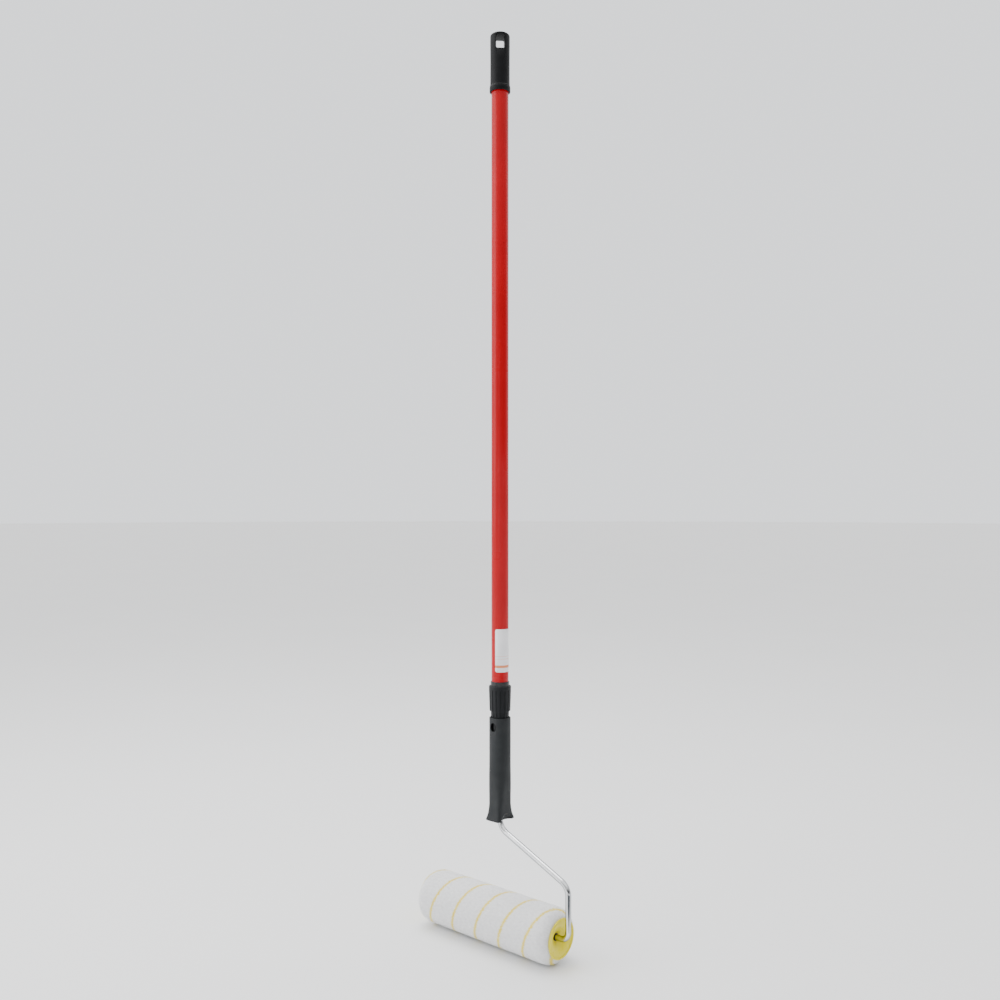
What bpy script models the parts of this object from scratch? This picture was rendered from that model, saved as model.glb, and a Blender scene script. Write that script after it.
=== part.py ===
"""Paint roller on a telescopic pole: pole with twist lock, cone tip, grip handle, bent wire frame and refill.

Lengths are in metres. Heights are measured up from the floor that the refill rests on, and the whole tool is
parented to an empty that is lowered until the middle of the roller's handle lies at the origin. +X runs along the
axle towards the side that the wire comes down on, +Z runs up the pole, and -Y is the front.
"""

import math

import bmesh
import bpy
from mathutils import Matrix, Vector

MM = 0.001
GAP = 0.3 * MM  # kept between pieces that touch
ROUND = 36  # segments round a large turned piece
SMALL_ROUND = 20  # segments round a small turned piece

# Refill: a nap sleeve on a core tube, with a dished cap in each end
PILE_R = 39.5 * MM
PILE_INNER_R = 25.3 * MM
CORE_R = 25.0 * MM
CORE_WALL = 1.6 * MM
REFILL_LENGTH = 250 * MM
REFILL_MIDDLE_X = -13 * MM
NEAR_X = REFILL_MIDDLE_X + REFILL_LENGTH / 2
FAR_X = REFILL_MIDDLE_X - REFILL_LENGTH / 2
PILE_END_ROUND = 16 * MM  # along the axle, from the nap's full radius down to the cap
CAP_R = 28 * MM
HUB_R = 8 * MM
HUB_FACE = -9.5 * MM
HUB_LENGTH = 16 * MM

# Wire frame
WIRE_R = 4.0 * MM
BORE_R = WIRE_R + GAP
ARM_X = NEAR_X + 13 * MM
AXLE_H = PILE_R
ARM_TOP_H = AXLE_H + 74 * MM
WIRE_TOP_H = 243 * MM
FIRST_BEND_H = 170 * MM
BEND_RADII = (21 * MM, 20 * MM, 13 * MM)
WIRE_END_X = FAR_X + 0.4 * MM

# Handle of the roller frame
HANDLE_BOTTOM_H = 182 * MM
HANDLE_TOP_H = 330 * MM
HOLD_H = (HANDLE_BOTTOM_H + HANDLE_TOP_H) / 2  # where the hand closes round it: the origin
SLOT_H = HANDLE_TOP_H - 13 * MM
SLOT_WIDTH = 11 * MM
SLOT_HEIGHT = 12.5 * MM

# Pole: cone tip, inner tube, twist lock, outer tube, grip
TIP_TOP_H = 340.4 * MM
TIP_BOTTOM_H = 257 * MM
TIP_POCKET_H = 327 * MM
TIP_APOTHEM = 11.1 * MM
INNER_R = 10.7 * MM
TUBE_WALL = 0.7 * MM
INNER_TOP_H = 1212 * MM
BUSH_R = 11.5 * MM
BUSH_HEAD = 60 * MM
THROAT_R = 11.2 * MM  # of the ferrule, which the bush's head stops on
NUT_BOTTOM_H = 339.5 * MM
NUT_TOP_H = 375.8 * MM
NUT_TOP_R = 16.2 * MM
NUT_BOTTOM_R = 15.2 * MM
FLUTES = 16
FERRULE_R = 13.7 * MM
FERRULE_TOP_H = 382 * MM
OUTER_R = 12.5 * MM
OUTER_BOTTOM_H = 362 * MM
OUTER_TOP_H = 1289 * MM
GRIP_BOTTOM_H = 1236 * MM
GRIP_TOP_H = 1321 * MM
GRIP_FLAT = 12.4 * MM  # from the pole's axis to the flats round the hang window
WINDOW_H = 1306.3 * MM
WINDOW_WIDTH = 12.6 * MM
WINDOW_HEIGHT = 20.4 * MM
POLE_TURN = math.radians(45)  # the pole's turn in the handle, from -Y towards +X
LABEL_START = math.radians(-37)  # from the window's direction
LABEL_ARC = math.radians(118)
LABEL_BOTTOM_H = 396.5 * MM
LABEL_HEIGHT = 62 * MM


# ---------------------------------------------------------------- scene, materials and helpers


def clear_scene():
    for obj in list(bpy.data.objects):
        bpy.data.objects.remove(obj)


def new_collection(name):
    collection = bpy.data.collections.new(name)
    bpy.context.scene.collection.children.link(collection)
    return collection


clear_scene()
PARTS = new_collection("paint_roller")
CUTTERS = new_collection("cutters")


def material(name, colour, roughness, metallic=0.0):
    made = bpy.data.materials.new(name)
    made.use_nodes = True
    shader = made.node_tree.nodes["Principled BSDF"]
    shader.inputs["Base Color"].default_value = (*colour, 1.0)
    shader.inputs["Roughness"].default_value = roughness
    shader.inputs["Metallic"].default_value = metallic
    return made


RED_PAINT = material("red_paint", (0.52, 0.012, 0.022), 0.3)
BLACK_PLASTIC = material("black_plastic", (0.02, 0.021, 0.023), 0.55)
GREY_NYLON = material("grey_nylon", (0.25, 0.25, 0.24), 0.5)
ZINC = material("zinc_plate", (0.75, 0.76, 0.78), 0.22, 1.0)
STEEL = material("steel_tube", (0.6, 0.61, 0.62), 0.35, 1.0)
YELLOW_PLASTIC = material("yellow_plastic", (0.55, 0.5, 0.09), 0.35)
CORE_PLASTIC = material("core_plastic", (0.7, 0.7, 0.68), 0.5)
NAP = material("nap_fabric", (0.82, 0.81, 0.78), 0.9)
PAPER = material("label_paper", (0.85, 0.85, 0.86), 0.4)


def empty(name, location, parent=None, rotation=(0.0, 0.0, 0.0)):
    made = bpy.data.objects.new(name, None)
    PARTS.objects.link(made)
    made.parent = parent
    made.location = location
    made.rotation_euler = rotation
    return made


def piece(name, mesh, parent, finish):
    obj = bpy.data.objects.new(name, mesh)
    PARTS.objects.link(obj)
    obj.parent = parent
    mesh.materials.append(finish)
    return obj


def cutter(name, mesh, parent):
    obj = bpy.data.objects.new(name, mesh)
    CUTTERS.objects.link(obj)
    obj.parent = parent
    obj.hide_render = True
    obj.display_type = "WIRE"
    return obj


def cut(obj, tool):
    modifier = obj.modifiers.new(f"cut_{tool.name}", "BOOLEAN")
    modifier.operation = "DIFFERENCE"
    modifier.solver = "EXACT"
    modifier.object = tool


def spin_outline(obj, segments):
    """Turns obj's outline, drawn in its XZ plane at +X, once round its Z axis."""
    screw = obj.modifiers.new("turn", "SCREW")
    screw.axis = "Z"
    screw.steps = segments
    screw.render_steps = segments
    screw.use_merge_vertices = True
    screw.merge_threshold = 0.00001
    screw.use_smooth_shade = True
    screw.use_normal_calculate = False


def outline_mesh(name, outline, closed):
    """outline is [(radius, height), ...], running down the outer side."""
    bm = bmesh.new()
    points = [bm.verts.new((radius, 0.0, height)) for radius, height in outline]
    for first, second in zip(points, points[1:]):
        bm.edges.new((first, second))
    if closed:
        bm.edges.new((points[-1], points[0]))
    return to_mesh(bm, name)


def to_mesh(bm, name):
    mesh = bpy.data.meshes.new(name)
    bm.to_mesh(mesh)
    bm.free()
    return mesh


def turned(name, outline, parent, finish, segments=ROUND, closed=True):
    obj = piece(name, outline_mesh(name, outline, closed), parent, finish)
    spin_outline(obj, segments)
    return obj


def turned_cutter(name, outline, parent, segments=ROUND):
    obj = cutter(name, outline_mesh(name, outline, False), parent)
    spin_outline(obj, segments)
    return obj


def around(count, start=0.0):
    return [start + 2 * math.pi * i / count for i in range(count)]


def groove_cutter(name, parent, count, radius, top, bottom, depth, start=0.0):
    """Round-nosed rods that mill count flutes. top and bottom are (surface radius, height) at the flutes' ends."""
    bm = bmesh.new()
    high = Vector((top[0] - depth + radius, 0, top[1]))
    low = Vector((bottom[0] - depth + radius, 0, bottom[1]))
    lean = (high - low).to_track_quat("Z", "Y").to_matrix().to_4x4()
    rod = Matrix.Translation((high + low) / 2) @ lean
    nose = Matrix.Translation(high) @ lean
    for angle in around(count, start):
        turn = Matrix.Rotation(angle, 4, "Z")
        bmesh.ops.create_cone(
            bm,
            cap_ends=True,
            segments=8,
            radius1=radius,
            radius2=radius,
            depth=(high - low).length,
            matrix=turn @ rod,
        )
        tip = Matrix.Translation((0, 0, radius / 2))
        bmesh.ops.create_cone(
            bm,
            cap_ends=True,
            segments=8,
            radius1=radius,
            radius2=radius * 0.3,
            depth=radius,
            matrix=turn @ nose @ tip,
        )
    bmesh.ops.remove_doubles(bm, verts=bm.verts, dist=0.00001)
    shared = [face for face in bm.faces if all(len(edge.link_faces) == 3 for edge in face.edges)]
    bmesh.ops.delete(bm, geom=shared, context="FACES_ONLY")
    bmesh.ops.recalc_face_normals(bm, faces=bm.faces)
    return cutter(name, to_mesh(bm, name), parent)


def block_cutter(name, parent, low, high, rounded=None, radius=0.0, segments=4):
    """A box from low to high; the edges for which rounded(edge) is true get that radius."""
    bm = bmesh.new()
    size = Vector(high) - Vector(low)
    middle = (Vector(high) + Vector(low)) / 2
    matrix = Matrix.Translation(middle) @ Matrix.Diagonal((*size, 1.0))
    bmesh.ops.create_cube(bm, size=1.0, matrix=matrix)
    if rounded:
        edges = [edge for edge in bm.edges if rounded(edge)]
        bmesh.ops.bevel(
            bm,
            geom=edges,
            offset=radius,
            offset_type="OFFSET",
            segments=segments,
            profile=0.5,
            affect="EDGES",
            clamp_overlap=False,
            material=-1,
        )
    return cutter(name, to_mesh(bm, name), parent)


def runs_along(axis):
    """Picks a box's edges that run along axis 0, 1 or 2."""

    def picks(edge):
        along = edge.verts[1].co - edge.verts[0].co
        return abs(along[axis]) > 0.99 * along.length

    return picks


def shade(obj):
    """Smooth faces with creases kept, on a piece whose mesh is already final."""
    obj.data.shade_smooth()
    obj.data.set_sharp_from_angle(angle=math.radians(35))


# ---------------------------------------------------------------- bodies: one empty on each joint's axis

TOOL = empty("tool", (0, 0, -HOLD_H))
POLE = empty("pole", (0, 0, 0), TOOL, (0, 0, POLE_TURN))
COLLET = empty("collet", (0, 0, 0), TOOL, (0, 0, POLE_TURN))
NUT = empty("nut", (0, 0, 0), COLLET)
INNER_POLE = empty("inner_pole", (0, 0, 0), TOOL, (0, 0, POLE_TURN))
FRAME = empty("roller_frame", (0, 0, 0), TOOL)
# On the axle, local +Z points along the row's +X.
NEAR_END = empty("near_end", (NEAR_X, 0, AXLE_H), TOOL, (0, math.pi / 2, 0))
NEAR_WIRE = empty("near_wire", (NEAR_X, 0, AXLE_H), FRAME, (0, math.pi / 2, 0))
FAR_END = empty("far_end", (FAR_X, 0, AXLE_H), TOOL, (0, -math.pi / 2, 0))


# ---------------------------------------------------------------- pole: outer tube, grip, ferrule and label


def tube_outline(radius, wall, low, high):
    return [(radius, high), (radius, low), (radius - wall, low), (radius - wall, high)]


def build_outer_tube():
    turned("outer_tube", tube_outline(OUTER_R, TUBE_WALL, OUTER_BOTTOM_H, OUTER_TOP_H), POLE, RED_PAINT)


def build_end_grip():
    """Moulded cap over the tube's top, domed, with flats round a window that takes a hook."""
    top = GRIP_TOP_H
    low = GRIP_BOTTOM_H
    bore = OUTER_R + GAP
    outline = [(0, top), (6.0 * MM, top - 0.2 * MM), (10.0 * MM, top - 0.7 * MM), (12.3 * MM, top - 1.6 * MM)]
    outline += [(13.7 * MM, top - 3.1 * MM), (14.3 * MM, top - 5.4 * MM), (14.1 * MM, top - 45 * MM)]
    outline += [(14.5 * MM, low + 8 * MM), (15.1 * MM, low + 6 * MM), (15.2 * MM, low + 1.2 * MM)]
    outline += [(14.4 * MM, low), (bore, low), (bore, OUTER_TOP_H + GAP), (0, OUTER_TOP_H + GAP)]
    grip = turned("end_grip", outline, POLE, BLACK_PLASTIC, closed=False)
    beyond = 20 * MM
    for side, name in ((-1, "front_flat"), (1, "back_flat")):
        near, far = sorted((side * GRIP_FLAT, side * beyond))
        floor = WINDOW_H - 18 * MM
        inner_y = side * GRIP_FLAT

        def at_run_out(edge, y=inner_y, z=floor):
            return all(abs(v.co.y - y) < MM / 10 and abs(v.co.z - z) < MM / 10 for v in edge.verts)

        low_corner = (-beyond, near, floor)
        high_corner = (beyond, far, top + beyond)
        cut(grip, block_cutter(name, POLE, low_corner, high_corner, at_run_out, 8 * MM, 5))
    half_width = WINDOW_WIDTH / 2
    half_height = WINDOW_HEIGHT / 2
    low_corner = (-half_width, -beyond, WINDOW_H - half_height)
    high_corner = (half_width, beyond, WINDOW_H + half_height)
    cut(grip, block_cutter("window", POLE, low_corner, high_corner, runs_along(1), 1.8 * MM, 3))


def build_ferrule():
    """Sleeve pressed over the tube's lower end; its mouth tapers onto the collet and its outside carries the nut."""
    pocket = OUTER_R + GAP
    floor = OUTER_BOTTOM_H - 0.4 * MM
    outline = [(12.95 * MM, FERRULE_TOP_H), (13.45 * MM, FERRULE_TOP_H - 0.4 * MM)]
    outline += [(FERRULE_R, FERRULE_TOP_H - 1.5 * MM), (FERRULE_R, 350 * MM), (13.3 * MM, 350 * MM)]
    outline += [(11.6 * MM, 358.5 * MM), (THROAT_R, 358.8 * MM), (THROAT_R, floor), (pocket, floor)]
    outline += [(pocket, FERRULE_TOP_H)]
    turned("lock_ferrule", outline, POLE, BLACK_PLASTIC)


def build_label():
    """A paper sticker wrapped part of the way round the outer tube."""
    bm = bmesh.new()
    radius = OUTER_R + GAP
    start = LABEL_START - math.pi / 2
    edge_low = (radius * math.cos(start), radius * math.sin(start), LABEL_BOTTOM_H)
    edge_high = (edge_low[0], edge_low[1], LABEL_BOTTOM_H + LABEL_HEIGHT)
    ends = [bm.verts.new(edge_low), bm.verts.new(edge_high)]
    edge = bm.edges.new(ends)
    bmesh.ops.spin(
        bm, geom=[*ends, edge], cent=(0, 0, 0), axis=(0, 0, 1), angle=LABEL_ARC, steps=16, use_merge=False
    )
    bmesh.ops.recalc_face_normals(bm, faces=bm.faces)
    for face in bm.faces:
        outward = face.calc_center_median()
        outward.z = 0
        if face.normal.dot(outward) < 0:
            face.normal_flip()
    label = piece("pole_label", to_mesh(bm, "pole_label"), POLE, PAPER)
    thickness = label.modifiers.new("paper", "SOLIDIFY")
    thickness.thickness = 0.25 * MM
    thickness.offset = 1.0


# ---------------------------------------------------------------- twist lock: collet and nut


def build_collet():
    """Split ring that the nut pushes up into the ferrule's taper, so that it grips the inner tube."""
    bore = INNER_R + GAP
    outline = [(11.7 * MM, 356 * MM), (13.0 * MM, 349.5 * MM), (13.6 * MM, 349.5 * MM), (13.6 * MM, 346.5 * MM)]
    outline += [(bore, 346.5 * MM), (bore, 356 * MM)]
    collet = turned("split_collet", outline, COLLET, GREY_NYLON)
    bm = bmesh.new()
    slits = 6
    slit_low = 348.2 * MM
    slit_high = 358 * MM
    for angle in around(slits):
        place = Matrix.Rotation(angle, 4, "Z") @ Matrix.Translation((12.5 * MM, 0, (slit_low + slit_high) / 2))
        size = Matrix.Diagonal((6 * MM, 1.2 * MM, slit_high - slit_low, 1.0))
        bmesh.ops.create_cube(bm, size=1.0, matrix=place @ size)
    cut(collet, cutter("collet_slits", to_mesh(bm, "collet_slits"), COLLET))


def build_nut():
    """Fluted hand nut; the step inside it carries the collet, and its skirt clears the cone tip."""
    top = NUT_TOP_H
    low = NUT_BOTTOM_H
    outline = [(14.7 * MM, top), (15.7 * MM, top - 0.7 * MM), (NUT_TOP_R, top - 2.4 * MM)]
    outline += [(NUT_BOTTOM_R, low + 0.5 * MM), (NUT_BOTTOM_R - 0.5 * MM, low), (13.75 * MM, low)]
    outline += [(13.75 * MM, 343.2 * MM), (11.2 * MM, 343.2 * MM), (11.2 * MM, 346.2 * MM)]
    outline += [(13.95 * MM, 346.2 * MM), (13.95 * MM, 352 * MM), (14.1 * MM, 353 * MM), (14.1 * MM, top)]
    nut = turned("lock_nut", outline, NUT, BLACK_PLASTIC)
    flute_top = (NUT_TOP_R, top - 6.2 * MM)
    flute_bottom = (NUT_BOTTOM_R, low - 2 * MM)
    cut(nut, groove_cutter("nut_flutes", NUT, FLUTES, 1.05 * MM, flute_top, flute_bottom, 0.9 * MM))


# ---------------------------------------------------------------- inner pole: tube, guide bush and cone tip


def build_inner_tube():
    low = TIP_POCKET_H + GAP
    turned("inner_tube", tube_outline(INNER_R, TUBE_WALL, low, INNER_TOP_H), INNER_POLE, STEEL)


def build_guide_bush():
    """Plug in the inner tube's top; its head keeps the tubes in line and stops them parting."""
    plug = INNER_R - TUBE_WALL - GAP
    head = INNER_TOP_H + GAP
    top = head + BUSH_HEAD
    outline = [(BUSH_R - MM, top), (BUSH_R, top - MM), (BUSH_R, head), (plug, head)]
    outline += [(plug, head - 18 * MM), (plug - 2 * MM, head - 18 * MM), (plug - 2 * MM, top)]
    turned("guide_bush", outline, INNER_POLE, GREY_NYLON)


def build_cone_tip():
    """Push-fit cone: a fluted collar, six flats and a fluted nose that goes into the handle's socket."""
    pocket = INNER_R + GAP
    outline = [(0, TIP_POCKET_H), (pocket, TIP_POCKET_H), (pocket, TIP_TOP_H), (12.8 * MM, TIP_TOP_H)]
    outline += [(13.3 * MM, TIP_TOP_H - 0.5 * MM), (13.25 * MM, 337 * MM), (13.0 * MM, 325 * MM)]
    outline += [(12.2 * MM, 303 * MM), (11.7 * MM, 301.5 * MM), (11.5 * MM, 296 * MM), (10.4 * MM, 262 * MM)]
    outline += [(10.1 * MM, 259 * MM), (9.2 * MM, TIP_BOTTOM_H), (6.0 * MM, TIP_BOTTOM_H)]
    outline += [(5.6 * MM, 305 * MM), (0, 305 * MM)]
    tip = turned("cone_tip", outline, INNER_POLE, BLACK_PLASTIC, closed=False)
    bm = bmesh.new()
    flat_low = 292 * MM
    flat_high = 325 * MM
    depth = 6 * MM
    for angle in around(6, math.radians(13)):
        out = Matrix.Translation((TIP_APOTHEM + depth / 2, 0, (flat_low + flat_high) / 2))
        size = Matrix.Diagonal((depth, 22 * MM, flat_high - flat_low, 1.0))
        bmesh.ops.create_cube(bm, size=1.0, matrix=Matrix.Rotation(angle, 4, "Z") @ out @ size)
    cut_flats_one_by_one(tip, bm)
    collar = ((12.95 * MM, 337.5 * MM), (12.8 * MM, 326.5 * MM))
    collar_flutes = groove_cutter("collar_flutes", INNER_POLE, FLUTES, 0.9 * MM, *collar, 0.7 * MM)
    cut(tip, collar_flutes)
    nose = ((11.3 * MM, 289 * MM), (10.3 * MM, TIP_BOTTOM_H - 3 * MM))
    cut(tip, groove_cutter("nose_flutes", INNER_POLE, 12, 1.2 * MM, *nose, 1.0 * MM))


def cut_flats_one_by_one(tip, bm):
    """The boxes for the flats overlap at their corners, so each pair of opposite flats is its own cutter."""
    mesh = to_mesh(bm, "tip_flats")
    for pair in range(3):
        bm = bmesh.new()
        bm.from_mesh(mesh)
        bm.verts.ensure_lookup_table()
        per_box = 8
        kept = set(range(pair * per_box, (pair + 1) * per_box))
        kept |= set(range((pair + 3) * per_box, (pair + 4) * per_box))
        spare = [vert for vert in bm.verts if vert.index not in kept]
        bmesh.ops.delete(bm, geom=spare, context="VERTS")
        name = f"tip_flats_{pair}"
        cut(tip, cutter(name, to_mesh(bm, name), INNER_POLE))
    bpy.data.meshes.remove(mesh)


# ---------------------------------------------------------------- roller frame: handle and wire


def section(half_x, half_y, power, count):
    """Points round a superellipse, anticlockwise from above: power 2 is an ellipse, 8 is nearly a rectangle."""
    points = []
    for angle in around(count):
        c, s = math.cos(angle), math.sin(angle)
        x = half_x * math.copysign(abs(c) ** (2 / power), c)
        y = half_y * math.copysign(abs(s) ** (2 / power), s)
        points.append((x, y))
    return points


def loft(name, stations, count):
    """A closed body through stations of (height, half_x, half_y, power), lowest first."""
    bm = bmesh.new()
    rings = [
        [bm.verts.new((x, y, height)) for x, y in section(half_x, half_y, power, count)]
        for height, half_x, half_y, power in stations
    ]
    for lower, upper in zip(rings, rings[1:]):
        for i in range(count):
            j = (i + 1) % count
            bm.faces.new((lower[i], lower[j], upper[j], upper[i]))
    bm.faces.new(rings[0][::-1])
    bm.faces.new(rings[-1])
    return to_mesh(bm, name)


def build_handle():
    """Hollow grip: round at its socket end, squared and flared over the wire, scooped where the wire bends out."""
    low = HANDLE_BOTTOM_H
    top = HANDLE_TOP_H
    stations = [
        (low, 12.9 * MM, 17.8 * MM, 7),
        (low + 1.4 * MM, 13.6 * MM, 18.6 * MM, 7),
        (low + 4 * MM, 13.1 * MM, 17.4 * MM, 7),
        (low + 7 * MM, 12.7 * MM, 16.2 * MM, 6.5),
        (low + 11 * MM, 12.4 * MM, 15.2 * MM, 5.6),
        (low + 16 * MM, 12.3 * MM, 14.5 * MM, 4.8),
        (low + 23 * MM, 12.3 * MM, 14.2 * MM, 4),
        (low + 34 * MM, 12.9 * MM, 14.5 * MM, 3.4),
        (low + 47 * MM, 13.9 * MM, 15.0 * MM, 2.8),
        (low + 62 * MM, 15.0 * MM, 15.4 * MM, 2.3),
        (low + 82 * MM, 15.6 * MM, 15.6 * MM, 2),
        (top - 1.2 * MM, 15.6 * MM, 15.6 * MM, 2),
        (top, 15.1 * MM, 15.1 * MM, 2),
    ]
    handle = piece("roller_handle", loft("roller_handle", stations, ROUND), FRAME, BLACK_PLASTIC)
    shade(handle)
    floor = 254 * MM
    socket = [(0, top + MM), (13.7 * MM, top + MM), (13.65 * MM, top), (13.35 * MM, 325 * MM)]
    socket += [(12.55 * MM, 303 * MM), (12.1 * MM, 301.5 * MM), (11.85 * MM, 296 * MM), (10.8 * MM, 262 * MM)]
    socket += [(10.6 * MM, floor), (0, floor)]
    cut(handle, turned_cutter("socket", socket, FRAME))
    bore = [(0, WIRE_TOP_H + GAP), (BORE_R, WIRE_TOP_H + GAP), (BORE_R, low - 5 * MM), (0, low - 5 * MM)]
    cut(handle, turned_cutter("wire_bore", bore, FRAME, SMALL_ROUND))
    cut(handle, slot_cutter())
    for side, name in ((1, "near_scoop"), (-1, "far_scoop")):
        bm = bmesh.new()
        place = Matrix.Translation((side * 17 * MM, 0, low - 1.5 * MM))
        size = Matrix.Diagonal((10.8 * MM, 13.6 * MM, 13 * MM, 1.0))
        bmesh.ops.create_uvsphere(bm, u_segments=24, v_segments=12, radius=1.0, matrix=place @ size)
        cut(handle, cutter(name, to_mesh(bm, name), FRAME))


def slot_cutter():
    """A round-ended bar along Y, for the slot that the bare handle hangs by."""
    bm = bmesh.new()
    radius = SLOT_WIDTH / 2
    straight = (SLOT_HEIGHT - SLOT_WIDTH) / 2
    outline = []
    steps = 10
    for i in range(steps + 1):
        angle = math.pi * i / steps
        outline.append((radius * math.cos(angle), straight + radius * math.sin(angle)))
    for i in range(steps + 1):
        angle = math.pi + math.pi * i / steps
        outline.append((radius * math.cos(angle), -straight + radius * math.sin(angle)))
    reach = 25 * MM
    face = bm.faces.new([bm.verts.new((x, -reach, SLOT_H + z)) for x, z in outline])
    grown = bmesh.ops.extrude_face_region(bm, geom=[face])
    moved = [item for item in grown["geom"] if isinstance(item, bmesh.types.BMVert)]
    bmesh.ops.translate(bm, verts=moved, vec=(0, 2 * reach, 0))
    bmesh.ops.recalc_face_normals(bm, faces=bm.faces)
    return cutter("hang_slot", to_mesh(bm, "hang_slot"), FRAME)


def bent_path(corners, radii, step):
    """Points along straight runs joined by arcs: radii[i] is the bend at corners[i + 1]."""
    corners = [Vector(corner) for corner in corners]
    points = [corners[0]]
    for before, corner, after, radius in zip(corners, corners[1:], corners[2:], radii):
        back = (before - corner).normalized()
        ahead = (after - corner).normalized()
        half = back.angle(ahead) / 2
        start = corner + back * (radius / math.tan(half))
        centre = corner + (back + ahead).normalized() * (radius / math.sin(half))
        axis = back.cross(ahead).normalized()
        turn = math.pi - 2 * half
        count = max(2, round(turn / step))
        for i in range(count + 1):
            swing = Matrix.Rotation(-turn * i / count, 3, axis)
            points.append(centre + swing @ (start - centre))
    points.append(corners[-1])
    return points


def build_wire():
    """One zinc-plated rod: out of the handle, across, down the refill's near end and back along its axle."""
    corners = [
        (0, 0, WIRE_TOP_H),
        (0, 0, FIRST_BEND_H),
        (ARM_X, 0, ARM_TOP_H),
        (ARM_X, 0, AXLE_H),
        (WIRE_END_X, 0, AXLE_H),
    ]
    points = bent_path(corners, BEND_RADII, math.radians(9))
    curve = bpy.data.curves.new("frame_wire", "CURVE")
    curve.dimensions = "3D"
    curve.bevel_depth = WIRE_R
    curve.bevel_resolution = 4
    curve.use_fill_caps = True
    spline = curve.splines.new("POLY")
    spline.points.add(len(points) - 1)
    for target, point in zip(spline.points, points):
        target.co = (*point, 1.0)
    piece("frame_wire", curve, FRAME, ZINC)


# ---------------------------------------------------------------- refill: washer, clip, core, nap and end caps


def build_stop_washer():
    """Black nylon washer pushed on the axle up to its bend, which the near cap turns against."""
    face = HUB_FACE + GAP
    outline = [(5.2 * MM, face + 1.2 * MM), (5.2 * MM, face), (BORE_R, face), (BORE_R, face + 1.2 * MM)]
    turned("stop_washer", outline, NEAR_WIRE, BLACK_PLASTIC, SMALL_ROUND)


def build_clip():
    """Snap cup on the wire's end, which the far cap turns against."""
    mouth = HUB_FACE + GAP
    outline = [(0, 1.5 * MM), (5.5 * MM, 1.5 * MM), (6.3 * MM, 0.7 * MM), (6.3 * MM, mouth)]
    outline += [(BORE_R, mouth), (BORE_R, -0.1 * MM), (0, -0.1 * MM)]
    turned("axle_clip", outline, FAR_END, GREY_NYLON, SMALL_ROUND, closed=False)


def build_core():
    outline = tube_outline(CORE_R, CORE_WALL, -REFILL_LENGTH, 0)
    turned("sleeve_core", outline, NEAR_END, CORE_PLASTIC)


def build_pile():
    """The nap's outer shape: a thick sleeve whose ends are rounded where the fibres fan out."""
    steps = 7
    outline = []
    for i in range(steps + 1):
        angle = math.pi / 2 * (1 - i / steps)
        radius = PILE_INNER_R + (PILE_R - PILE_INNER_R) * math.cos(angle)
        outline.append((radius, PILE_END_ROUND * (math.sin(angle) - 1)))
    far = [(radius, -REFILL_LENGTH - height) for radius, height in reversed(outline)]
    turned("sleeve_pile", outline + far, NEAR_END, NAP)


def build_cap(name, end):
    """Dished cap: flange on the sleeve's end, skirt inside the core and a long hub that turns on the wire."""
    skirt = CORE_R - CORE_WALL - GAP
    web = 1.5 * MM
    outline = [(25.0 * MM, 1.5 * MM), (27.4 * MM, 1.5 * MM), (CAP_R, 0.9 * MM), (CAP_R, GAP), (skirt, GAP)]
    outline += [(skirt, -16 * MM), (skirt - web, -16 * MM), (skirt - web, -2.6 * MM), (HUB_R, -10 * MM)]
    outline += [(HUB_R, HUB_FACE - HUB_LENGTH), (BORE_R, HUB_FACE - HUB_LENGTH), (BORE_R, HUB_FACE)]
    outline += [(6.9 * MM, HUB_FACE), (8.2 * MM, -7.4 * MM), (10.5 * MM, -5.2 * MM), (14.0 * MM, -3.2 * MM)]
    outline += [(19.0 * MM, -1.2 * MM), (23.5 * MM, 0.7 * MM)]
    turned(name, outline, end, YELLOW_PLASTIC)


build_outer_tube()
build_end_grip()
build_ferrule()
build_label()
build_collet()
build_nut()
build_inner_tube()
build_guide_bush()
build_cone_tip()
build_handle()
build_wire()
build_stop_washer()
build_clip()
build_core()
build_pile()
build_cap("near_end_cap", NEAR_END)
build_cap("far_end_cap", FAR_END)
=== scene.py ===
import math

import bmesh
import bpy
import numpy as np
from mathutils import Matrix, Vector


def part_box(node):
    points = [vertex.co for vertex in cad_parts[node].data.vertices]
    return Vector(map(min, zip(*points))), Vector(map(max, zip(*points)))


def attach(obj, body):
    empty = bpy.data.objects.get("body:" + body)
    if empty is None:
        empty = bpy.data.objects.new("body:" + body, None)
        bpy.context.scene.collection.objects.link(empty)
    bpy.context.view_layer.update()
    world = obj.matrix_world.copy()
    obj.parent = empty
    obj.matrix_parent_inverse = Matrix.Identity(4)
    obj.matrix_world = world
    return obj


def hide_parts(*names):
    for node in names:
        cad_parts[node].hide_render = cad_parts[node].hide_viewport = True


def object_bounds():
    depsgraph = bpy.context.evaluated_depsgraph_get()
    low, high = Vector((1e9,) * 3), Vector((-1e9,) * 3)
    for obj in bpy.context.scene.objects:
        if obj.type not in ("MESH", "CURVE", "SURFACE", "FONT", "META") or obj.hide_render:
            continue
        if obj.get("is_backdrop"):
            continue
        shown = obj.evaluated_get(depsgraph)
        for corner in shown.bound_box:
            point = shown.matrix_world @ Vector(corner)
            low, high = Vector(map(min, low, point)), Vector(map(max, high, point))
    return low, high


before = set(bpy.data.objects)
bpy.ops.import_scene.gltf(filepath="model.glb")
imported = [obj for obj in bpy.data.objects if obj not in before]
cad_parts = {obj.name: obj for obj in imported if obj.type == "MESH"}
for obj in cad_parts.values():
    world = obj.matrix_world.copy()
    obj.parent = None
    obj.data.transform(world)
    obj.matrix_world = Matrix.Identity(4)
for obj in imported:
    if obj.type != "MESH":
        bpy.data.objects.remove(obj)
cad_low, cad_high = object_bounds()
mm = 0.001

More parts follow.
